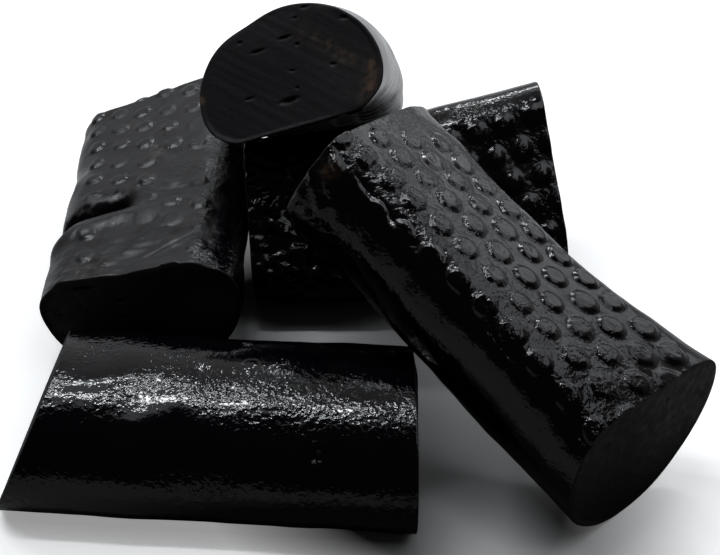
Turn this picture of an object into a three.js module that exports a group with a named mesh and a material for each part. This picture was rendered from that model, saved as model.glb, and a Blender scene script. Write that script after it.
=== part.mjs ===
// A heap of five loose sticks of soft black liquorice, cut from one extruded bar.
//
// Every stick has the same section: a flat side, where the soft bar lay on its
// drying tray, rounded shoulders, and a dome opposite. The sticks differ in length,
// in the slant of their knife cuts, and in how they were bent and squeezed.
//
// Stick frame: x runs along the stick from its first cut to its second, y across
// its width, and the flat side faces -z. Heap frame: +Z up, the sticks rest on Z = 0,
// +X to the right and +Y away from the front. All lengths are in millimetres.

import * as THREE from 'three';
import { mergeVertices } from 'three/addons/utils/BufferGeometryUtils.js';

// The section of the bar that the sticks are cut from.
const FLAT_SHARE = 0.6;          // the flat's width, as a share of the bar's width
const SHOULDER_SHARE = 0.34;     // height of the widest line above the flat, as a share of thickness

// Fineness of the solids.
const STATIONS = 10;
const ARC_SEGMENTS = 6;

// A parabola that is 1 in the middle of a stick and 0 at its cuts has this mean,
// which is taken off a bend so that bending leaves the middle of the stick in place.
const MEAN_OF_BEND = 2 / 3;

const LIQUORICE_BLACK = 0x0b0b0d;

// Each stick: size and place, then the marks that handling left on it.
//   place     heap X and Y of the stick's middle
//   heading   direction of its x axis, degrees anticlockwise from +X
//   rise      degrees that its second end is raised
//   roll      degrees turned about its own x axis; 0 is flat side down
//   cut1, cut2  slants of the two cuts, as mm along the stick per mm of [y, z]
//   bend      mm that the middle is pushed along [y, z]
//   twist     degrees from end to end
//   waist     share of its width that it has lost in the middle
//   taper     share of its width gained at the second end and lost at the first
const STICKS = [
  {
    name: 'front_stick',
    length: 44.5, width: 24, thickness: 14.4,
    place: [-15.5, 11], heading: -4, rise: 0, roll: 0,
    cut1: [-0.03, 0.5], cut2: [-0.07, 0],
  },
  {
    name: 'left_stick',
    length: 45, width: 24.6, thickness: 16,
    place: [-28.2, 48.6], heading: 94.3, rise: 0, roll: 168,
    cut1: [-0.12, -0.21], cut2: [0.25, -0.03],
    bend: [0.8, 0.7], waist: -0.04, taper: -0.016,
  },
  {
    name: 'top_stick',
    length: 48.9, width: 24.4, thickness: 15.7,
    place: [-5.8, 64.2], heading: 84.1, rise: -31.8, roll: -18.3,
    cut1: [0.224, 0.28], cut2: [0, 0],
    bend: [-0.95, 1.79],
  },
  {
    name: 'back_stick',
    length: 42.4, width: 24.3, thickness: 15.6,
    place: [6.5, 46.8], heading: 8.1, rise: 5, roll: -135.2,
    cut1: [-0.085, 0], cut2: [-0.015, 0.085],
    bend: [1.36, -0.25], waist: -0.05, taper: 0.116,
  },
  {
    name: 'leaning_stick',
    length: 46, width: 26, thickness: 16.8,
    place: [15, 18.2], heading: -47, rise: -20.5, roll: 169.5,
    cut1: [0.14, -0.02], cut2: [-0.11, 0.37],
    bend: [3.1, -0.8], twist: 13, waist: 0.2, taper: -0.015,
  },
];

// The bar's section, drawn with the stick's y across and its z up the page.
function barSection(width, thickness) {
  const flatHalf = (FLAT_SHARE * width) / 2;
  const shoulderRadius = width / 2 - flatHalf;
  const shoulderHeight = SHOULDER_SHARE * thickness;
  const domeHeight = thickness - shoulderHeight;
  const section = new THREE.Shape();
  section.moveTo(-flatHalf, -shoulderHeight);
  section.lineTo(flatHalf, -shoulderHeight);
  section.absellipse(flatHalf, 0, shoulderRadius, shoulderHeight, -Math.PI / 2, 0, false);
  section.absellipse(0, 0, width / 2, domeHeight, 0, Math.PI, false);
  section.absellipse(-flatHalf, 0, shoulderRadius, shoulderHeight, Math.PI, 1.5 * Math.PI, false);
  return section;
}

// Moves one point of the straight bar to where it lies in the finished stick.
// along is the point's place on the stick: -0.5 at the first cut, 0.5 at the second.
function shapePoint(along, acrossBar, upBar, stick) {
  const { length, cut1, cut2, bend = [0, 0], twist = 0, waist = 0, taper = 0 } = stick;
  const middleness = 1 - (2 * along) ** 2;
  const widthScale = 1 - waist * middleness + taper * 2 * along;
  const turn = THREE.MathUtils.degToRad(twist) * along;
  const y = Math.cos(turn) * acrossBar * widthScale - Math.sin(turn) * upBar;
  const z = Math.sin(turn) * acrossBar * widthScale + Math.cos(turn) * upBar;
  const slant = along < 0 ? cut1 : cut2;
  const slantShare = Math.abs(2 * along);
  const x = along * length + slantShare * (slant[0] * y + slant[1] * z);
  const push = middleness - MEAN_OF_BEND;
  return new THREE.Vector3(x, y + bend[0] * push, z + bend[1] * push);
}

// One stick as a closed solid in its own frame.
function stickGeometry(stick) {
  const straight = new THREE.ExtrudeGeometry(barSection(stick.width, stick.thickness), {
    depth: 1,
    steps: STATIONS,
    curveSegments: ARC_SEGMENTS,
    bevelEnabled: false,
  });
  straight.deleteAttribute('normal');
  straight.deleteAttribute('uv');
  const geometry = mergeVertices(straight);
  const position = geometry.getAttribute('position');
  for (let i = 0; i < position.count; i += 1) {
    const along = position.getZ(i) - 0.5;
    const shaped = shapePoint(along, position.getX(i), position.getY(i), stick);
    position.setXYZ(i, shaped.x, shaped.y, shaped.z);
  }
  geometry.computeVertexNormals();
  return geometry;
}

// Turns a stick to its pose and sets it down so that its lowest point touches Z = 0.
function layStick(stick) {
  const material = new THREE.MeshStandardMaterial({
    color: LIQUORICE_BLACK,
    roughness: 0.25,
    metalness: 0,
  });
  const mesh = new THREE.Mesh(stickGeometry(stick), material);
  mesh.name = stick.name;
  const { degToRad } = THREE.MathUtils;
  mesh.rotation.set(degToRad(stick.roll), degToRad(-stick.rise), degToRad(stick.heading), 'ZYX');
  mesh.position.set(stick.place[0], stick.place[1], 0);
  const box = new THREE.Box3().setFromObject(mesh, true);
  mesh.position.z = -box.min.z;
  return mesh;
}

// The heap, with the middle of its footprint at the origin.
const heap = new THREE.Group();
for (const stick of STICKS) {
  heap.add(layStick(stick));
}
const footprint = new THREE.Box3().setFromObject(heap, true);
heap.position.x = -(footprint.min.x + footprint.max.x) / 2;
heap.position.y = -(footprint.min.y + footprint.max.y) / 2;

export default heap;
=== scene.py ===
"""The looks of a heap of five soft liquorice sticks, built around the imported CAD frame.

Every stick is rebuilt as one fine mesh on the same shape formula as its CAD solid: a bar
with a flat side and a dome, cut at a slant, bent, squeezed and twisted. Relief is then
raised on it: the dots of the drying tray on the flat side, dents, creases, pores and
drag lines on the cuts. Lengths are in millimetres until a mesh is written in metres.

Stick frame: x along the stick from its first cut to its second, y across its width,
and the flat side faces -z.
"""

import math

import bpy
import numpy as np
from mathutils import Matrix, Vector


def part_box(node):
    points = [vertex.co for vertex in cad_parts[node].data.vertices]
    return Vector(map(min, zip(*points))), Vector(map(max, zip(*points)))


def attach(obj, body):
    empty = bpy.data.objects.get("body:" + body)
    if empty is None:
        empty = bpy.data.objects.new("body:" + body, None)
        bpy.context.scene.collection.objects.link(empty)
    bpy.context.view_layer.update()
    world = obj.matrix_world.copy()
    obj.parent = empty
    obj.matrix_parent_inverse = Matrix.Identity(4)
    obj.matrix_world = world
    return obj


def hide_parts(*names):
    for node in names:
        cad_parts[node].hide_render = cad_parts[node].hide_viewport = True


MM = 0.001

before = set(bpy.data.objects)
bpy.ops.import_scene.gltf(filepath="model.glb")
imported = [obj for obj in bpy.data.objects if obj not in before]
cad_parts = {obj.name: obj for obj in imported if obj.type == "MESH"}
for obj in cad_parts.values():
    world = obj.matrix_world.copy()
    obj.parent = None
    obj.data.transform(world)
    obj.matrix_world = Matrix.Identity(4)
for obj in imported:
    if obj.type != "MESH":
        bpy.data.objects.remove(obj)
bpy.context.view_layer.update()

# ---------------------------------------------------------------- the sticks

# The bar's section, as shares of its width and thickness.
FLAT_SHARE = 0.6
SHOULDER_SHARE = 0.34
MEAN_OF_BEND = 2 / 3

# Fineness of the outline that a section is sampled from, and the weight of its two sides.
FLAT_POINTS = 600
QUARTER_POINTS = 400
DOME_POINTS = 1200
FINE_SIDE = 1.5
PLAIN_SIDE = 0.8

# Fineness of the meshes.
STATIONS = 190
ROUND_POINTS = 320
RIM_ROWS = 4
RIM_RADIUS = 0.2
SEEN_CAP_RINGS = 74
CAP_RINGS = 16
BOX_STATIONS = 41

# How far the flat lies below the plain bar between the dots.
GROUND_DEPTH = 0.25

# Added to a stick's seed, so that each of its random fields is a different one.
SEEDS = dict(
    long_sway=1, short_sway=2, skin=4, second_cut=5, first_cut=6, torn=31, pulled=33,
    stain=51, grain=52, matte=53, wrinkles=61, fold=62,
)

# Added to the seed of a cut, for the knife's strokes over it.
STROKE_SEED = 7

# Each stick: the CAD values first, then what only its looks need.
#   shoulders  how square its shoulders are at -y and +y; 2 is a plain ellipse
#   dot        height, radius and softness of the edge of the dots on its flat
#   dots       start, step along a row, step to the next row, then how the steps change,
#              each as (along, across), the first dot's number, and the numbers of dots
#              and rows
#   fine_dome  True when its dome is seen and gets the finer part of the mesh
#   seen_cut   the cut that faces the front, -1 or 1, and gets the finer mesh
#   matte      roughness of its dome and of its flat side
#   sway       how far its sides stray from the plain bar, over long and short distances
STICKS = {
    "front_stick": dict(
        length=44.5, width=24, thickness=14.4, heading=-4, rise=0, roll=0,
        cut1=(-0.03, 0.5), cut2=(-0.07, 0), fine_dome=True, seed=11, sway=(0.05, 0.008),
        dot=(0.3, 1.4, 0.7),
        dots=dict(start=(-19, -7.4), step=(4.3, -0.3), row=(2.1, 3.7), counts=(11, 5)),
        grain=0.8, matte=(0.05, 0.25),
    ),
    "left_stick": dict(
        length=45, width=24.6, thickness=16, heading=94.3, rise=0, roll=168,
        cut1=(-0.12, -0.21), cut2=(0.25, -0.03), bend=(0.8, 0.7), waist=-0.04,
        taper=-0.016, seen_cut=-1, seed=23, sway=(0.1, 0.02), dot=(0.32, 1.15, 0.4),
        dots=dict(start=(-17.5, -5.9), step=(4.9, -0.38), row=(-1.66, 3.78),
                  counts=(12, 5)),
        grain=0.4, matte=(0.12, 0.36),
    ),
    "top_stick": dict(
        length=48.9, width=24.4, thickness=15.7, heading=84.1, rise=-31.8, roll=-18.3,
        cut1=(0.224, 0.28), cut2=(0, 0), bend=(-0.95, 1.79), fine_dome=True, seen_cut=-1,
        seed=37, sway=(0.06, 0.003), dot=(0.4, 1.4, 0.7),
        dots=dict(start=(-22, -7.2), step=(4.3, 0.2), row=(2.1, 3.7), counts=(12, 5)),
        grain=0.06, matte=(0.12, 0.25),
    ),
    "back_stick": dict(
        length=42.4, width=24.3, thickness=15.6, heading=8.1, rise=5, roll=-135.2,
        cut1=(-0.085, 0), cut2=(-0.015, 0.085), bend=(1.36, -0.25), waist=-0.05,
        taper=0.116, seed=41, sway=(0.1, 0.02), dot=(0.34, 1.15, 0.6),
        dots=dict(start=(-20.5, -5.06), step=(3.97, -0.22), row=(1.86, 3.59),
                  counts=(13, 5)),
        grain=0.6, matte=(0.08, 0.14),
    ),
    "leaning_stick": dict(
        length=46, width=26, thickness=16.8, heading=-47, rise=-20.5, roll=169.5,
        cut1=(0.14, -0.02), cut2=(-0.11, 0.37), bend=(3.1, -0.8), twist=13,
        waist=0.2, taper=-0.015, shoulders=(2.3, 3), seen_cut=1, seed=59, sway=(0.08, 0.02),
        dot=(0.34, 1.5, 0.42),
        dots=dict(start=(-20.8, 14.5), step=(3.94, -1.25), row=(2.05, -5.9),
                  step_change=(0.036, 0.075), shear_change=(-0.039, 0.158),
                  row_change=(0.012, 0.173), first=-1, counts=(13, 5)),
        grain=0.8, matte=(0.06, 0.13),
    ),
}


def ease(value, low, high):
    """0 below low, 1 above high, and a smooth step between them."""
    share = np.clip((value - low) / (high - low), 0, 1)
    return share * share * (3 - 2 * share)


def waves(points, size, seed, count=28):
    """A smooth random field of about unit strength, with bumps of the given size."""
    random = np.random.default_rng(seed)
    directions = random.normal(size=(count, 3))
    directions /= np.linalg.norm(directions, axis=1)[:, None]
    lengths = size * random.uniform(0.7, 1.6, count)
    phases = random.uniform(0, 2 * math.pi, count)
    total = np.zeros(points.shape[:-1])
    for direction, length, phase in zip(directions, lengths, phases):
        total += np.sin(points @ direction * (2 * math.pi / length) + phase)
    return total / math.sqrt(count / 2)


def field(stick, kind, points, size):
    """One of the stick's own random fields, with bumps of the given size in mm."""
    return waves(points, size, stick["seed"] + SEEDS[kind])


def bar_section(stick):
    """Points around the section and their outward normals, evenly spaced but finer on one side."""
    width, thickness = stick["width"], stick["thickness"]
    flat_half = FLAT_SHARE * width / 2
    reach = width / 2 - flat_half
    drop = SHOULDER_SHARE * thickness
    rise = thickness - drop
    minus_power, plus_power = stick.get("shoulders", (2, 2))
    quarter = np.linspace(0, math.pi / 2, QUARTER_POINTS)
    flat = np.stack([
        np.linspace(-flat_half, flat_half, FLAT_POINTS),
        np.full(FLAT_POINTS, -drop),
    ], 1)
    plus = np.stack([
        flat_half + reach * np.sin(quarter) ** (2 / plus_power),
        -drop * np.cos(quarter) ** (2 / plus_power),
    ], 1)
    turn = np.linspace(0, math.pi, DOME_POINTS)
    dome = np.stack([width / 2 * np.cos(turn), rise * np.sin(turn)], 1)
    minus = np.stack([
        -flat_half - reach * np.sin(quarter) ** (2 / minus_power),
        -drop * np.cos(quarter) ** (2 / minus_power),
    ], 1)[::-1]
    outline = np.concatenate([flat[:-1], plus[:-1], dome[:-1], minus[:-1]])
    step = np.linalg.norm(np.roll(outline, -1, 0) - outline, axis=1)
    seen = outline[:, 1] > 0 if stick.get("fine_dome") else outline[:, 1] < 0
    weighted = step * np.where(seen, FINE_SIDE, PLAIN_SIDE)
    amount = np.concatenate([[0], np.cumsum(weighted)])
    wanted = np.arange(ROUND_POINTS) / ROUND_POINTS * amount[-1]
    closed = np.concatenate([outline, outline[:1]])
    points = np.stack([np.interp(wanted, amount, closed[:, k]) for k in (0, 1)], 1)
    tangent = np.roll(points, -1, 0) - np.roll(points, 1, 0)
    normals = np.stack([tangent[:, 1], -tangent[:, 0]], 1)
    return points, normals / np.linalg.norm(normals, axis=1)[:, None]


def shape(stick, along, across, up):
    """Moves points of the straight bar to where they lie in the finished stick."""
    bend = stick.get("bend", (0, 0))
    middleness = 1 - (2 * along) ** 2
    scale = 1 - stick.get("waist", 0) * middleness + stick.get("taper", 0) * 2 * along
    turn = math.radians(stick.get("twist", 0)) * along
    y = np.cos(turn) * across * scale - np.sin(turn) * up
    z = np.sin(turn) * across * scale + np.cos(turn) * up
    slant_y = np.where(along < 0, stick["cut1"][0], stick["cut2"][0])
    slant_z = np.where(along < 0, stick["cut1"][1], stick["cut2"][1])
    x = along * stick["length"] + np.abs(2 * along) * (slant_y * y + slant_z * z)
    push = middleness - MEAN_OF_BEND
    return np.stack([x, y + bend[0] * push, z + bend[1] * push], -1)


def turned(stick, points):
    """Points of a stick's own frame, turned to its heading, rise and roll."""
    roll = math.radians(stick["roll"])
    pitch = math.radians(-stick["rise"])
    heading = math.radians(stick["heading"])
    about_x = np.array([
        [1, 0, 0],
        [0, math.cos(roll), -math.sin(roll)],
        [0, math.sin(roll), math.cos(roll)],
    ])
    about_y = np.array([
        [math.cos(pitch), 0, math.sin(pitch)],
        [0, 1, 0],
        [-math.sin(pitch), 0, math.cos(pitch)],
    ])
    about_z = np.array([
        [math.cos(heading), -math.sin(heading), 0],
        [math.sin(heading), math.cos(heading), 0],
        [0, 0, 1],
    ])
    return points @ (about_z @ about_y @ about_x).T


# ---------------------------------------------------------------- relief

def dot_centres(lattice):
    """Where the tray's dots are pressed on the flat, as (along, across) in mm."""
    first = lattice.get("first", 0)
    for i in range(first, first + lattice["counts"][0]):
        for j in range(lattice["counts"][1]):
            yield tuple(
                lattice["start"][k] + i * lattice["step"][k] + j * lattice["row"][k]
                + i * i * lattice.get("step_change", (0, 0))[k]
                + i * j * lattice.get("shear_change", (0, 0))[k]
                + j * j * lattice.get("row_change", (0, 0))[k]
                for k in (0, 1)
            )


def dots(stick, along, across):
    """Height of the low discs that the drying tray leaves, each a little different."""
    tall, radius, edge = stick["dot"]
    height = np.zeros_like(along)
    random = np.random.default_rng(stick["seed"])
    for centre in dot_centres(stick["dots"]):
        stray = random.normal(0, 0.12, 2)
        size = radius * random.uniform(0.92, 1.08)
        share = random.uniform(0.75, 1.1)
        distance = np.hypot(along - centre[0] - stray[0], across - centre[1] - stray[1])
        disc = 1 - ease(distance, size - edge, size + edge)
        height = np.maximum(height, disc * share * tall)
    return height


def spot(points, centre, radius, height):
    """A round rise, or a hollow where the height is negative."""
    distance = np.linalg.norm(points - np.array(centre), axis=-1)
    return height * np.exp(-((distance / radius) ** 2))


def groove(points, start, end, width, depth):
    """A straight groove from start to end that fades at both ends."""
    start, end = np.array(start, float), np.array(end, float)
    line = end - start
    share = np.clip((points - start) @ line / (line @ line), 0, 1)
    distance = np.linalg.norm(points - (start + share[..., None] * line), axis=-1)
    fade = ease(share, -0.2, 0.15) * (1 - ease(share, 0.85, 1.2))
    return -depth * fade * np.exp(-((distance / width) ** 2))


def on_dome(stick, along, angle):
    """A point of the dome; the angle is 0 at its +y side and 90 at its top."""
    turn = math.radians(angle)
    rise = (1 - SHOULDER_SHARE) * stick["thickness"]
    return along, stick["width"] / 2 * math.cos(turn), rise * math.sin(turn)


def on_flat(stick, along, across):
    """A point of the flat side."""
    return along, across, -SHOULDER_SHARE * stick["thickness"]


def front_marks(stick, points):
    """A thumb dent, two low swells, a ring left by a bubble, a pit and a fine crack."""
    height = spot(points, on_dome(stick, -9.8, 112), 3.2, -0.35)
    height += spot(points, on_dome(stick, -15.5, 109), 3.5, 0.12)
    squash = np.array([0.45, 1, 1])
    height += spot(points * squash, np.array(on_dome(stick, 10, 128)) * squash, 4.2, 0.14)
    ring = np.linalg.norm(points - np.array(on_dome(stick, 4.0, 83.9)), axis=-1)
    height -= 0.05 * np.exp(-(((ring - 0.75) / 0.18) ** 2))
    height += spot(points, on_dome(stick, 12, 138.4), 0.75, -0.45)
    height += spot(points, on_dome(stick, 11.9, 134), 0.8, 0.14)
    height += groove(points, on_dome(stick, 13.8, 163.7), on_dome(stick, 14.6, 177.6),
                     0.14, 0.12)
    return height


# The left stick's crease runs across it on a shallow curve: its place along the stick,
# the middle of the curve across the stick, how it leans and how it curves.
CREASE_PLACE = -7.1
CREASE_MIDDLE = -2
CREASE_LEAN = 0.14
CREASE_CURVE = 0.018

# Its depth at its deep and shallow ends, and how far its slopes reach behind and ahead.
CREASE_DEEP = 2.3
CREASE_SHALLOW = 0.15
CREASE_BEHIND = 2.3
CREASE_AHEAD = 0.4

# The rounded lip ahead of the crease, the end that is pressed down, and the side that
# bulges out because of it.
LIP_HEIGHT = 0.5
LIP_PLACE = 2.6
LIP_WIDTH = 1.6
PRESSED_DEPTH = 0.85
WRINKLE_HEIGHT = 0.05
BULGE_BEHIND = 0.24
BULGE_AHEAD = 0.26

# Fine wrinkles of the left stick's flat: start and end as (along, across), then
# half width and depth.
LEFT_WRINKLES = [
    ((-2.6, -0.8), (-4.6, 2.4), 0.3, 0.22),
    ((-4.6, 2.2), (-5.0, 6), 0.25, 0.16),
    ((-19.9, 1.6), (-17.6, 5.6), 0.22, 0.16),
    ((-17.8, 5.2), (-16.2, 8.2), 0.22, 0.14),
]


def past_crease(points):
    """How far a point of the left stick lies behind its crease, along the stick."""
    across = points[..., 1] - CREASE_MIDDLE
    return points[..., 0] - CREASE_PLACE - CREASE_LEAN * across + CREASE_CURVE * across ** 2


def left_marks(stick, points):
    """A deep crease across the flat, and the end in front of it pressed down and wrinkled."""
    along, across = points[..., 0], points[..., 1]
    flat = ease(-points[..., 2], 1, 4.5)
    gap = past_crease(points)
    deep = CREASE_DEEP * (1 - ease(across, -4, 0)) + CREASE_SHALLOW
    slope = np.abs(gap) / np.where(gap > 0, CREASE_BEHIND, CREASE_AHEAD)
    height = -deep * np.exp(-(slope ** 2))
    lip = np.exp(-(((gap + LIP_PLACE) / LIP_WIDTH) ** 2))
    height += LIP_HEIGHT * (1 - ease(across, 0, 6)) * lip
    pressed = ease(-gap, 2, 15)
    height -= PRESSED_DEPTH * pressed
    for start, end, width, depth in LEFT_WRINKLES:
        height += groove(points, on_flat(stick, *start), on_flat(stick, *end), width, depth)
    height += spot(points, on_flat(stick, 6.7, 0.9), 0.8, -0.3)
    height += spot(points, on_flat(stick, 3.9, 1.4), 1.1, 0.22)
    stretched = points * np.array([1, 0.5, 1])
    height += WRINKLE_HEIGHT * pressed * field(stick, "wrinkles", stretched, 1.6)
    side = np.exp(-((points[..., 2] / 6) ** 2)) * ease(across, 7, 11.5)
    swollen = BULGE_BEHIND + BULGE_AHEAD * (1 - ease(along, -19, -11))
    return height * flat + swollen * side


def top_marks(stick, points):
    """A shallow dimple across the dome at its front cut."""
    fade = 1 - ease(points[..., 0], -24, -8)
    dimple = spot(points * np.array([0.25, 1, 1]), (-5.5, 3.6, 8.9), 3.6, -0.75)
    return dimple * fade


def back_marks(stick, points):
    """Ragged bumps where the stick was torn, and a swell towards the sticks beside it."""
    rough = ease(-points[..., 0], 11, 15) * ease(-points[..., 2], -2, 4)
    torn = rough * 0.09 * field(stick, "torn", points, 1.7)
    return torn + spot(points, (-19, -11.2, -4.2), 5.5, 0.6)


# Places in the leaning stick's section, as (across, up), and heights there: where its side
# is pared away, where its upper tip flares out and where that tip is worn down.
PARED_PLACE = (11.8, -3.9)
PARED_REACH = (3.2, 5.4)
PARED_DEPTH = 1.5
FLARE_PLACE = (11.2, 5.6)
FLARE_HEIGHT = 1.3
WORN_PLACE = (-10.5, -5.2)
WORN_DEPTH = 1.1
TIP_REACH = 4.5


def leaning_marks(stick, points):
    """A pulled end, a long scratch beside the flat, a pared side and a flared tip."""
    along, across = points[..., 0], points[..., 1]
    height = groove(points, (4, 12.6, -4.4), (22, 12.7, -4.2), 0.25, 0.12)
    pulled = ease(-along, 12, 22) * ease(across, 8, 12)
    height += pulled * 0.1 * field(stick, "pulled", points, 2.2)
    tip = ease(-along, 14, 22.5)
    section_point = np.stack([across, points[..., 2]], -1)
    pared = np.linalg.norm((section_point - np.array(PARED_PLACE)) / PARED_REACH, axis=-1)
    height -= PARED_DEPTH * (1 - 0.6 * tip) * np.exp(-(pared ** 2))
    flare = np.linalg.norm(section_point - np.array(FLARE_PLACE), axis=-1)
    height += FLARE_HEIGHT * tip * np.exp(-((flare / TIP_REACH) ** 2))
    worn = np.linalg.norm(section_point - np.array(WORN_PLACE), axis=-1)
    height -= WORN_DEPTH * tip * np.exp(-((worn / TIP_REACH) ** 2))
    return height


MARKS = {
    "front_stick": front_marks,
    "left_stick": left_marks,
    "top_stick": top_marks,
    "back_stick": back_marks,
    "leaning_stick": leaning_marks,
}

# Where the tray's dots were rubbed away or smeared: (along, across), radius and share lost.
WORN = {
    "left_stick": [
        ((0.5, 5.0), 5.5, 1.0), ((-17, 1), 8.0, 0.75), ((9, 8.5), 4, 0.9),
        ((-6.3, -6.5), 4.6, 1.0), ((-5.6, -2.5), 4.2, 1.0), ((-10.5, -3), 4.2, 0.8),
    ],
    "back_stick": [((14, 8.0), 4.5, 0.6)],
}

# Pores of the first and second cut: (across, up), half length, half width and depth.
PORES = {
    ("top_stick", -1): [
        ((-0.9, 6.2), 0.62, 0.17, 0.5), ((2.9, 5.6), 0.72, 0.17, 0.5),
        ((0.3, -1.6), 0.85, 0.24, 0.7), ((-2.3, 4.9), 0.2, 0.16, 0.4),
        ((5.0, 7.4), 0.28, 0.16, 0.35), ((-4.4, 9.2), 0.45, 0.18, 0.45),
        ((-9.1, 6.3), 0.5, 0.22, 0.5), ((5.4, 0.1), 0.5, 0.12, 0.35),
        ((-6.1, 1.1), 0.24, 0.16, 0.35), ((-0.9, 1.9), 0.28, 0.12, 0.3),
        ((-1.0, -0.4), 0.18, 0.13, 0.3), ((-2.8, 8.2), 0.22, 0.12, 0.3),
    ],
    ("left_stick", -1): [
        ((-5.6, -3.1), 1.1, 0.16, 0.7), ((-1.7, -0.8), 0.4, 0.14, 0.45),
        ((-1.7, 1.4), 0.4, 0.12, 0.4), ((-5.9, -0.2), 0.35, 0.1, 0.3),
        ((-9.6, 0.0), 0.25, 0.12, 0.3),
    ],
    ("leaning_stick", 1): [
        ((3.6, 5.4), 0.3, 0.14, 0.3), ((-2.6, -3.2), 0.25, 0.14, 0.3),
        ((7.0, -2.0), 0.3, 0.12, 0.3),
    ],
}


def side_relief(name, stick, points, normal_z):
    """Height of the skin above the plain bar."""
    along, across = points[..., 0], points[..., 1]
    flat = ease(-normal_z, 0.45, 0.9)
    height = stick["sway"][0] * field(stick, "long_sway", points, 12)
    height += stick["sway"][1] * field(stick, "short_sway", points, 3.5)
    tray = dots(stick, along, across)
    for centre, radius, lost in WORN.get(name, ()):
        distance = np.hypot(along - centre[0], across - centre[1])
        tray *= 1 - lost * (1 - ease(distance, 0.5 * radius, radius))
    height += flat * (tray - GROUND_DEPTH)
    height += flat * 0.006 * field(stick, "skin", points, 0.9)
    return height + MARKS[name](stick, points)


# The way the knife was drawn over each cut: degrees from +y towards +z. The sticks whose
# cuts aren't named here use HIDDEN_KNIFE.
KNIFE = {"top_stick": 42, "left_stick": 72, "leaning_stick": -35}
HIDDEN_KNIFE = 20


def knife_lines(name, across, up):
    """Places on a cut, measured along the knife's strokes and square to them."""
    stroke = math.radians(KNIFE.get(name, HIDDEN_KNIFE))
    along = across * math.cos(stroke) + up * math.sin(stroke)
    beside = up * math.cos(stroke) - across * math.sin(stroke)
    return along, beside


def cut_relief(name, stick, across, up, end):
    """How far the cut face stands out past its plane."""
    points = np.stack([across, up, np.full_like(across, 40.0 * end)], -1)
    seed = stick["seed"] + SEEDS["second_cut" if end > 0 else "first_cut"]
    height = 0.09 * waves(points, 10, seed)
    along, beside = knife_lines(name, across, up)
    strokes = np.stack([0.12 * along, beside, np.full_like(along, 9.0 * end)], -1)
    height += 0.007 * waves(strokes, 1.3, seed + STROKE_SEED)
    for centre, length, width, depth in PORES.get((name, end), ()):
        slit = ((across - centre[0]) / length) ** 2 + ((up - centre[1]) / width) ** 2
        height -= depth * np.exp(-slit)
    return height


# Brown stains, where sugar has crystallised or the skin is chipped: the middle in the
# stick frame, its radius and its strength.
STAINS = {
    "top_stick": [
        ((-24.4, -3.2, 6.2), 0.7, 0.3), ((-24.4, -4.7, 5.0), 0.7, 0.4),
        ((-24.4, -6.1, 3.6), 0.8, 0.5), ((-24.4, -7.4, 1.9), 0.9, 0.55),
        ((-24.4, -8.6, 1.0), 0.7, 0.45), ((-24.4, -10.7, -0.3), 0.6, 1.4),
        ((-24.4, -10.5, -1.5), 0.9, 0.8), ((-24.4, -9.9, -2.9), 0.8, 1.3),
        ((-24.4, -8.6, -4.0), 0.7, 0.4), ((-24.4, 11.7, 1.7), 0.4, 2.2),
    ],
    "left_stick": [
        ((-20.1, -3.5, -5.4), 0.8, 1.0), ((-21.0, -5.4, -5.4), 0.9, 0.7),
        ((5.5, 1.0, -5.4), 1.0, 0.35),
    ],
    "leaning_stick": [
        ((-20.9, 12.8, -2.6), 1.0, 0.4), ((-19.6, 12.5, -3.4), 0.9, 0.25),
        ((23, -4.1, -6.0), 0.5, 1.2), ((23, -12.2, 5.6), 0.6, 1.2),
    ],
    "front_stick": [((20.5, 9, 5.5), 0.6, 0.6)],
    "back_stick": [((-19, -9, 4.5), 0.9, 0.5)],
}


def stain_amount(name, stick, points):
    """How brown the surface is, from 0 to 1, in ragged patches."""
    amount = np.zeros(len(points))
    for centre, radius, strength in STAINS[name]:
        amount += spot(points, centre, radius, strength)
    ragged = 0.75 + 0.45 * field(stick, "stain", points, 0.7)
    return np.clip(amount * ragged, 0, 1)


def grain_amount(name, stick, points):
    """How strongly the skin is pebbled, where 1 is its plain height; it varies in patches."""
    patches = 0.7 + 0.25 * field(stick, "grain", points, 9)
    if name == "left_stick":
        patches += 1.6 * ease(points[:, 1], 6, 9)
    if name == "leaning_stick":
        patches += 0.25 * ease(points[:, 1], -2, 6) - 0.3 * ease(-points[:, 1], 1, 6)
        patches *= 1 - 0.7 * ease(points[:, 2], -4.6, -2) * ease(points[:, 0], -18, -10)
    return np.clip(patches, 0.2, 2.5) * stick["grain"]


def matte_amount(stick, points):
    """Roughness of the skin: the flat dries duller on its tray than the dome does."""
    flat = ease(-points[:, 2], 2.5, 4.5)
    dome, tray = stick["matte"]
    patches = 1 + 0.2 * field(stick, "matte", points, 5)
    return np.clip((dome + (tray - dome) * flat) * patches, 0.05, 0.6)


# How far a stick's cuts have dried and paled, from 0 to 1; the others' are fully pale.
DRIED = {"top_stick": 0.0, "left_stick": 0.3}

# The skin's plain mirroring, and how much of it is taken away as painted shade in the fold of the
# left stick's crease.
PLAIN_SHINE = 0.5
FOLD_PAINTED_SHADE = 0.48


def shine_with_painted_fold_shade(name, stick, points):
    """How strongly the skin mirrors its surroundings; in the fold of the crease this is turned
    down as painted shade.
    """
    shine = np.full(len(points), PLAIN_SHINE)
    if name == "left_stick":
        gap = past_crease(points)
        ragged = gap + 0.5 * field(stick, "fold", points * np.array([0.4, 1, 1]), 0.9)
        fold = ease(gap, -0.5, 0.1) * (1 - ease(ragged, 2.8, 4.6))
        # Painted shade: the fold mirrors less, so that it reads dark.
        shine -= FOLD_PAINTED_SHADE * fold * (1 - ease(points[:, 1], -3, 0.4))
    return shine


def paint(mesh, name, values):
    """Stores one number for each vertex, for the materials to read."""
    layer = mesh.attributes.new(name, "FLOAT", "POINT")
    layer.data.foreach_set("value", values.astype(np.float32))


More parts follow.
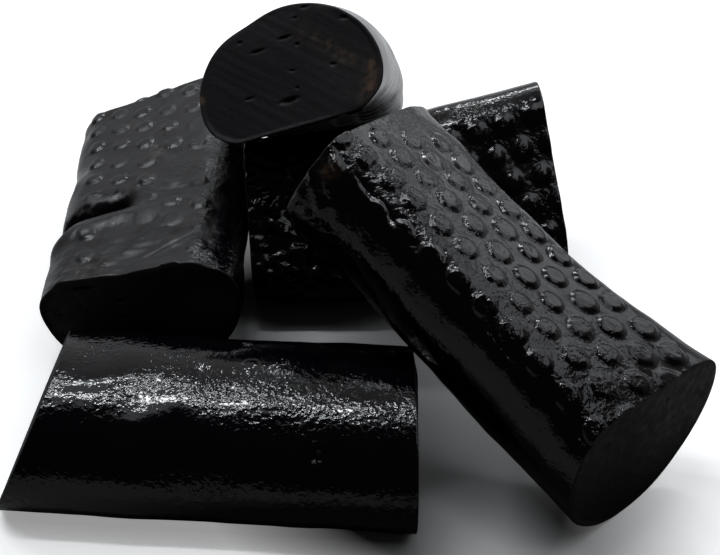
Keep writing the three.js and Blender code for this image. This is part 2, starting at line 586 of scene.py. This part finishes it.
def paint_knife_lines(mesh, name, points):
    """Stores the places along and beside the knife's strokes, in metres."""
    along, beside = knife_lines(name, points[:, 1], points[:, 2])
    places = np.stack([along, beside, np.sign(points[:, 0]) * 100], 1) * MM
    layer = mesh.attributes.new("knife", "FLOAT_VECTOR", "POINT")
    layer.data.foreach_set("vector", places.astype(np.float32).ravel())


# ---------------------------------------------------------------- meshes

def stick_rows(name, stick):
    """Rings from the middle of the first cut to the middle of the second.

    Returns their places, the same points on the straight bar, and which rings lie on a cut.
    """
    section, normals = bar_section(stick)
    half = stick["length"] / 2
    middle = np.array([0, (1 - 2 * SHOULDER_SHARE) * stick["thickness"] / 2])
    rows = []
    bar_rows = []
    on_cut = []

    def add(along_mm, inset, shrink, end):
        along = np.full(len(section), float(along_mm))
        skin = np.column_stack([along, section])
        height = side_relief(name, stick, skin, normals[:, 1])
        rim = section + normals * (height - inset)[:, None]
        place = middle + (rim - middle) * shrink
        if shrink < 1:
            out = cut_relief(name, stick, place[:, 0], place[:, 1], end)
            along = along + end * out * ease(1 - shrink, 0, 0.05)
        rows.append(shape(stick, along / stick["length"], place[:, 0], place[:, 1]))
        bar_rows.append(np.column_stack([along, place]))
        on_cut.append(end != 0)

    def cap(end):
        rings = SEEN_CAP_RINGS if end == stick.get("seen_cut") else CAP_RINGS
        shrinks = 1 - np.arange(1, rings) / rings
        for shrink in shrinks if end > 0 else shrinks[::-1]:
            add(end * half, RIM_RADIUS, shrink, end)

    def rim(end):
        turns = np.arange(1, RIM_ROWS + 1) / RIM_ROWS * math.pi / 2
        for turn in turns if end > 0 else turns[::-1]:
            reach = half - RIM_RADIUS * (1 - math.sin(turn))
            add(end * reach, RIM_RADIUS * (1 - math.cos(turn)), 1, end)

    cap(-1)
    rim(-1)
    for along_mm in np.linspace(-half + RIM_RADIUS, half - RIM_RADIUS, STATIONS):
        add(along_mm, 0, 1, 0)
    rim(1)
    cap(1)
    return np.array(rows), np.array(bar_rows), np.array(on_cut)


def stick_mesh(name, stick):
    """The stick as a closed mesh in metres, in the heap's frame."""
    rows, bar_rows, on_cut = stick_rows(name, stick)
    count, around = rows.shape[:2]
    poles = np.array([rows[0].mean(0), rows[-1].mean(0)])
    points = turned(stick, np.concatenate([rows.reshape(-1, 3), poles]))

    # The bar without its relief is laid over the middle of its CAD solid's box.
    section, _ = bar_section(stick)
    plain = [shape(stick, np.full(around, along), section[:, 0], section[:, 1])
             for along in np.linspace(-0.5, 0.5, BOX_STATIONS)]
    plain = turned(stick, np.concatenate(plain))
    low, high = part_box(name)
    centre = (np.array(low) + np.array(high)) / 2 / MM
    points += centre - (plain.min(0) + plain.max(0)) / 2
    points[:, 2] = np.maximum(points[:, 2], 0)

    ring = np.arange(around)
    after = (ring + 1) % around
    starts = np.arange(count - 1)[:, None] * around
    quads = np.stack([
        starts + ring, starts + after, starts + around + after, starts + around + ring,
    ], -1).reshape(-1, 4)
    first_pole, last_pole = count * around, count * around + 1
    first_fan = np.stack([np.full(around, first_pole), after, ring], 1)
    last = (count - 1) * around
    last_fan = np.stack([np.full(around, last_pole), last + ring, last + after], 1)

    mesh = bpy.data.meshes.new(name + "_skin")
    corners = np.concatenate([quads.ravel(), first_fan.ravel(), last_fan.ravel()])
    sizes = np.concatenate([np.full(len(quads), 4), np.full(2 * around, 3)])
    mesh.vertices.add(len(points))
    mesh.vertices.foreach_set("co", (points * MM).astype(np.float32).ravel())
    mesh.loops.add(len(corners))
    mesh.loops.foreach_set("vertex_index", corners.astype(np.int32))
    mesh.polygons.add(len(sizes))
    mesh.polygons.foreach_set("loop_start", (np.cumsum(sizes) - sizes).astype(np.int32))
    cut_row = on_cut[:-1] & on_cut[1:]
    index = np.concatenate([np.repeat(cut_row, around), np.ones(2 * around, bool)])
    mesh.polygons.foreach_set("material_index", index.astype(np.int32))
    mesh.polygons.foreach_set("use_smooth", np.ones(len(sizes), bool))
    mesh.update()
    bar_poles = np.array([bar_rows[0].mean(0), bar_rows[-1].mean(0)])
    bar_points = np.concatenate([bar_rows.reshape(-1, 3), bar_poles])
    paint(mesh, "stain", stain_amount(name, stick, bar_points))
    paint(mesh, "grain", grain_amount(name, stick, bar_points))
    paint(mesh, "matte", matte_amount(stick, bar_points))
    paint(mesh, "shine", shine_with_painted_fold_shade(name, stick, bar_points))
    paint(mesh, "dried", np.full(len(points), DRIED.get(name, 1.0)))
    paint_knife_lines(mesh, name, bar_points)
    return mesh


# ---------------------------------------------------------------- materials

SKIN_IOR = 1.42
COLD_BLACK = (0.0007, 0.0005, 0.0014, 1)
WARM_BLACK = (0.0015, 0.0012, 0.0018, 1)
CUT_DARK = (0.0060, 0.0056, 0.0074, 1)
CUT_PALE = (0.0095, 0.0088, 0.0108, 1)
CUT_DEEP = (0.0016, 0.0014, 0.0026, 1)
STAIN_BROWN = (0.060, 0.034, 0.020, 1)

# Heights of the bumps, in metres, and how many of them there are to the metre.
RIPPLE_HEIGHT = 0.00003
RIPPLE_SCALE = 700
PEBBLE_HEIGHT = 0.00007
PEBBLE_SCALE = 1500
DRAG_HEIGHT = 0.00005
DRAG_SCALE = 1500
TORN_HEIGHT = 0.00005
TORN_SCALE = 2200
CUT_BUMP = 0.6
CUT_SPECULAR = 0.3

# The Mix node's sockets for its two colours and for its result.
MIX_FIRST = 6
MIX_SECOND = 7
MIX_RESULT = 2


def shader(name):
    """A new material with its node tree and its surface shader."""
    material = bpy.data.materials.new(name)
    material.use_nodes = True
    tree = material.node_tree
    return material, tree, tree.nodes["Principled BSDF"]


def noise(tree, scale, detail, stretch=(1, 1, 1), attribute_name=None):
    """A noise texture; scale counts bumps to the metre.

    It is fixed to the object, or to a vector attribute of the mesh.
    """
    if attribute_name is None:
        place = tree.nodes.new("ShaderNodeTexCoord").outputs["Object"]
    else:
        reader = tree.nodes.new("ShaderNodeAttribute")
        reader.attribute_name = attribute_name
        place = reader.outputs["Vector"]
    mapping = tree.nodes.new("ShaderNodeMapping")
    mapping.inputs["Scale"].default_value = stretch
    texture = tree.nodes.new("ShaderNodeTexNoise")
    texture.inputs["Scale"].default_value = scale
    texture.inputs["Detail"].default_value = detail
    tree.links.new(place, mapping.inputs["Vector"])
    tree.links.new(mapping.outputs["Vector"], texture.inputs["Vector"])
    return texture.outputs["Fac"]


def ranged(tree, source, low, high, from_low=0.3, from_high=0.7):
    """The source's values from from_low to from_high, spread from low to high."""
    spread = tree.nodes.new("ShaderNodeMapRange")
    spread.inputs["From Min"].default_value = from_low
    spread.inputs["From Max"].default_value = from_high
    spread.inputs["To Min"].default_value = low
    spread.inputs["To Max"].default_value = high
    tree.links.new(source, spread.inputs["Value"])
    return spread.outputs["Result"]


def blend_colour(tree, share, first, second):
    """A colour between two others; each is a colour or a socket."""
    mix = tree.nodes.new("ShaderNodeMix")
    mix.data_type = "RGBA"
    tree.links.new(share, mix.inputs["Factor"])
    for key, value in ((MIX_FIRST, first), (MIX_SECOND, second)):
        if isinstance(value, tuple):
            mix.inputs[key].default_value = value
        else:
            tree.links.new(value, mix.inputs[key])
    return mix.outputs[MIX_RESULT]


def bumped(tree, height, strength, distance, under=None):
    """A bump of the given height in metres, over another normal if there is one."""
    bump = tree.nodes.new("ShaderNodeBump")
    bump.inputs["Distance"].default_value = distance
    if isinstance(strength, float):
        bump.inputs["Strength"].default_value = strength
    else:
        tree.links.new(strength, bump.inputs["Strength"])
    tree.links.new(height, bump.inputs["Height"])
    if under is not None:
        tree.links.new(under, bump.inputs["Normal"])
    return bump.outputs["Normal"]


def attribute(tree, name):
    """A number that the mesh stores at each vertex."""
    reader = tree.nodes.new("ShaderNodeAttribute")
    reader.attribute_name = name
    return reader.outputs["Fac"]


def scaled(tree, source, factor):
    """The product of two sockets."""
    product = tree.nodes.new("ShaderNodeMath")
    product.operation = "MULTIPLY"
    tree.links.new(source, product.inputs[0])
    tree.links.new(factor, product.inputs[1])
    return product.outputs["Value"]


def skin_material():
    """The glazed black skin: a sticky shine over fine pebbling, with brown stains."""
    material, tree, surface = shader("liquorice_skin")
    link = tree.links.new
    surface.inputs["IOR"].default_value = SKIN_IOR
    # The shine attribute carries the painted shade in the fold of the left stick's crease.
    link(attribute(tree, "shine"), surface.inputs["Specular IOR Level"])
    tones = ranged(tree, noise(tree, 260, 3), 0.0, 1.0)
    black = blend_colour(tree, tones, COLD_BLACK, WARM_BLACK)
    colour = blend_colour(tree, attribute(tree, "stain"), black, STAIN_BROWN)
    link(colour, surface.inputs["Base Color"])
    smudges = ranged(tree, noise(tree, 420, 4), 0.7, 1.3)
    link(scaled(tree, attribute(tree, "matte"), smudges), surface.inputs["Roughness"])
    pebbled = attribute(tree, "grain")
    ripples = bumped(tree, noise(tree, RIPPLE_SCALE, 2), pebbled, RIPPLE_HEIGHT)
    pebbles = ranged(tree, noise(tree, PEBBLE_SCALE, 2), 0.0, 1.0, 0.4, 0.75)
    grain = bumped(tree, pebbles, pebbled, PEBBLE_HEIGHT, ripples)
    link(grain, surface.inputs["Normal"])
    return material


def cut_material():
    """The dull face that the knife leaves: dense, faintly violet, dragged and finely torn."""
    material, tree, surface = shader("liquorice_cut")
    link = tree.links.new
    surface.inputs["IOR"].default_value = SKIN_IOR
    surface.inputs["Specular IOR Level"].default_value = CUT_SPECULAR
    drag = noise(tree, DRAG_SCALE, 4, stretch=(0.08, 1, 1), attribute_name="knife")
    dragged = blend_colour(tree, ranged(tree, drag, 0.0, 1.0), CUT_DARK, CUT_PALE)
    dark = blend_colour(tree, attribute(tree, "dried"), CUT_DEEP, dragged)
    colour = blend_colour(tree, attribute(tree, "stain"), dark, STAIN_BROWN)
    link(colour, surface.inputs["Base Color"])
    link(ranged(tree, noise(tree, 900, 3), 0.5, 0.75), surface.inputs["Roughness"])
    strokes = bumped(tree, drag, CUT_BUMP, DRAG_HEIGHT)
    torn = bumped(tree, noise(tree, TORN_SCALE, 4), CUT_BUMP, TORN_HEIGHT, strokes)
    link(torn, surface.inputs["Normal"])
    return material


# ---------------------------------------------------------------- build

skin = skin_material()
cut_face = cut_material()
for name, stick in STICKS.items():
    mesh = stick_mesh(name, stick)
    mesh.materials.append(skin)
    mesh.materials.append(cut_face)
    piece = bpy.data.objects.new(name + "_soft", mesh)
    bpy.context.scene.collection.objects.link(piece)
    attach(piece, name)
    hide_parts(name)

# ---------------------------------------------------------------- floor

FLOOR_HALF = 3.0

# What light and reflections meet: the open floor, with painted shade that makes its front darker
# than its back, and painted shade in the nooks.
FLOOR_FRONT = (0.28, 0.28, 0.28, 1)
FLOOR_BACK = (0.6, 0.6, 0.6, 1)
NOOK_PAINTED_SHADE = (0.05, 0.05, 0.05, 1)

# What the camera sees: white that glows a little, and painted shade between the sticks, where the
# glow is also taken away.
FLOOR_WHITE = (0.95, 0.95, 0.95, 1)
SEEN_PAINTED_SHADE = (0.5, 0.5, 0.5, 1)
FLOOR_LIFT = 0.3

# Nooks where shade is painted on the floor: place, turn in degrees and radii. The first two lie
# between the front, back and leaning sticks, one painted where the camera sees it and a wider
# one painted for light and reflections. The third lies under the top stick, painted for light and
# reflections.
FRONT_NOOK = ((0.003, -0.022, 0), -55, (0.050, 0.026, 1))
WIDE_FRONT_NOOK = ((0.001, -0.026, 0), -52, (0.072, 0.044, 1))
REAR_NOOK = ((0.001, 0.026, 0), -6, (0.022, 0.030, 1))


def lit_by_sight(tree, seen, unseen, output):
    """The camera sees one shader, and light and reflections meet the other."""
    path = tree.nodes.new("ShaderNodeLightPath")
    mix = tree.nodes.new("ShaderNodeMixShader")
    tree.links.new(path.outputs["Is Camera Ray"], mix.inputs["Fac"])
    tree.links.new(unseen, mix.inputs[1])
    tree.links.new(seen, mix.inputs[2])
    tree.links.new(mix.outputs["Shader"], output)


def nook_share(tree, nook):
    """1 in the middle of the nook, easing to 0 at its edge: the share of painted shade there."""
    middle, turn, radii = nook
    place = tree.nodes.new("ShaderNodeTexCoord").outputs["Object"]
    mapping = tree.nodes.new("ShaderNodeMapping")
    mapping.vector_type = "TEXTURE"
    mapping.inputs["Location"].default_value = middle
    mapping.inputs["Rotation"].default_value = (0, 0, math.radians(turn))
    mapping.inputs["Scale"].default_value = radii
    ball = tree.nodes.new("ShaderNodeTexGradient")
    ball.gradient_type = "SPHERICAL"
    tree.links.new(place, mapping.inputs["Vector"])
    tree.links.new(mapping.outputs["Vector"], ball.inputs["Vector"])
    return ranged(tree, ball.outputs["Fac"], 0.0, 1.0, 0.0, 0.4)


def chalky(surface):
    """Makes a surface shader fully dull."""
    surface.inputs["Roughness"].default_value = 1.0
    surface.inputs["Specular IOR Level"].default_value = 0.0


def floor_material():
    """Pale paper, shown whiter than it lights the sticks, as a bright studio floor is, with
    painted shade in the nooks and towards the front.
    """
    material, tree, surface = shader("pale_floor")
    nook = nook_share(tree, FRONT_NOOK)
    parts = tree.nodes.new("ShaderNodeSeparateXYZ")
    tree.links.new(tree.nodes.new("ShaderNodeTexCoord").outputs["Object"], parts.inputs["Vector"])
    # Painted shade: for light and reflections the floor darkens towards its front, and more in the
    # nooks.
    depth = ranged(tree, parts.outputs["Y"], 0.0, 1.0, -0.03, 0.08)
    open_floor = blend_colour(tree, depth, FLOOR_FRONT, FLOOR_BACK)
    shaded = blend_colour(tree, nook_share(tree, WIDE_FRONT_NOOK), open_floor, NOOK_PAINTED_SHADE)
    grey = blend_colour(tree, nook_share(tree, REAR_NOOK), shaded, NOOK_PAINTED_SHADE)
    tree.links.new(grey, surface.inputs["Base Color"])
    chalky(surface)
    white = tree.nodes.new("ShaderNodeBsdfPrincipled")
    # Painted shade in the front nook, where the camera sees the floor.
    pale = blend_colour(tree, nook, FLOOR_WHITE, SEEN_PAINTED_SHADE)
    tree.links.new(pale, white.inputs["Base Color"])
    chalky(white)
    white.inputs["Emission Color"].default_value = (1, 1, 1, 1)
    lift = ranged(tree, nook, FLOOR_LIFT, 0.0, 0.0, 1.0)
    tree.links.new(lift, white.inputs["Emission Strength"])
    output = tree.nodes["Material Output"].inputs["Surface"]
    lit_by_sight(tree, white.outputs["BSDF"], surface.outputs["BSDF"], output)
    return material


floor_mesh = bpy.data.meshes.new("floor")
floor_mesh.from_pydata([
    (-FLOOR_HALF, -FLOOR_HALF, 0), (FLOOR_HALF, -FLOOR_HALF, 0),
    (FLOOR_HALF, FLOOR_HALF, 0), (-FLOOR_HALF, FLOOR_HALF, 0),
], [], [(0, 1, 2, 3)])
floor_mesh.materials.append(floor_material())
floor = bpy.data.objects.new("floor", floor_mesh)
bpy.context.scene.collection.objects.link(floor)


# ---------------------------------------------------------------- lights

# Heights are in metres, and radiance is a light's brightness per unit of its area.
LIGHT_TINT = (0.94, 0.97, 1.0)
PANEL_HEIGHT = 1.0
TUBE_HEIGHT = 0.98


def area_light(name, width, height, radiance):
    """A rectangular light of the given size in metres, which the camera doesn't see."""
    light = bpy.data.lights.new(name, "AREA")
    light.shape = "RECTANGLE"
    light.size = width
    light.size_y = height
    light.energy = radiance * math.pi * light.size * light.size_y
    light.color = LIGHT_TINT
    lamp = bpy.data.objects.new(name, light)
    bpy.context.scene.collection.objects.link(lamp)
    lamp.visible_camera = False
    return lamp


def softbox(name, azimuth, elevation, distance, width, height, radiance):
    """A light facing the heap; azimuth 0 is behind the heap and 90 to its right."""
    lamp = area_light(name, width, height, radiance)
    yaw, lift = math.radians(azimuth), math.radians(elevation)
    lamp.location = (
        distance * math.sin(yaw) * math.cos(lift),
        distance * math.cos(yaw) * math.cos(lift),
        distance * math.sin(lift),
    )
    face = lamp.location.to_track_quat("Z", "Y").to_matrix().to_4x4()
    lamp.matrix_world = Matrix.Translation(lamp.location) @ face


def ceiling_light(name, left, right, front, back, radiance, height=PANEL_HEIGHT):
    """A light over the heap, facing down; its edges and height are in metres."""
    lamp = area_light(name, right - left, back - front, radiance)
    lamp.matrix_world = Matrix.Translation(((left + right) / 2, (front + back) / 2, height))


# Wide dim panels give the broad sheen. Narrow bright tubes, hung just below them, give the
# sparkle along the sticks.
softbox("right_softbox", 44, 34, 1.1, 0.75, 0.45, 1.3)
ceiling_light("overhead_panel", -0.7, 0.05, -0.03, 0.33, 0.9)
ceiling_light("overhead_tube", -0.7, 0.05, 0.14, 0.18, 38, TUBE_HEIGHT)
ceiling_light("left_panel", -0.7, -0.17, 0.33, 0.62, 0.9)
ceiling_light("left_tube", -0.7, -0.17, 0.45, 0.49, 32, TUBE_HEIGHT)
ceiling_light("back_panel", -0.12, 0.3, 0.75, 1.7, 1.0)
ceiling_light("back_tube", -0.12, 0.3, 1.14, 1.22, 38, TUBE_HEIGHT)
ceiling_light("right_panel", 0.25, 0.85, -0.4, 0.5, 1.5)

BACK_GLOW = 0.5
ROOM_DARK = 0.02


def studio_room():
    """A dark room with a pale backdrop behind the heap."""
    world = bpy.data.worlds.new("studio_room")
    world.use_nodes = True
    tree = world.node_tree
    room = tree.nodes["Background"]
    place = tree.nodes.new("ShaderNodeTexCoord")
    parts = tree.nodes.new("ShaderNodeSeparateXYZ")
    tree.links.new(place.outputs["Generated"], parts.inputs["Vector"])
    glow = ranged(tree, parts.outputs["Y"], ROOM_DARK, BACK_GLOW, -0.1, 0.75)
    tree.links.new(glow, room.inputs["Strength"])
    room.inputs["Color"].default_value = (0.96, 0.98, 1, 1)
    seen = tree.nodes.new("ShaderNodeBackground")
    seen.inputs["Color"].default_value = (0.9, 0.9, 0.9, 1)
    output = tree.nodes["World Output"].inputs["Surface"]
    lit_by_sight(tree, seen.outputs["Background"], room.outputs["Background"], output)
    return world


bpy.context.scene.world = studio_room()

# ---------------------------------------------------------------- camera

# The camera's place in mm, how many degrees it looks down, and its lens and film in mm.
CAMERA_PLACE = (1.40, -113.72, 91.63)
CAMERA_PITCH = 38.1
CAMERA_LENS = 51.05
FILM_WIDTH = 36
NEAREST_SEEN = 5

camera_data = bpy.data.cameras.new("camera")
camera_data.lens = CAMERA_LENS
camera_data.sensor_width = FILM_WIDTH
camera_data.clip_start = NEAREST_SEEN * MM
camera = bpy.data.objects.new("camera", camera_data)
camera.location = [value * MM for value in CAMERA_PLACE]
camera.rotation_euler = (math.radians(90 - CAMERA_PITCH), 0, 0)
bpy.context.scene.collection.objects.link(camera)
bpy.context.scene.camera = camera
bpy.context.scene.view_settings.view_transform = "Standard"
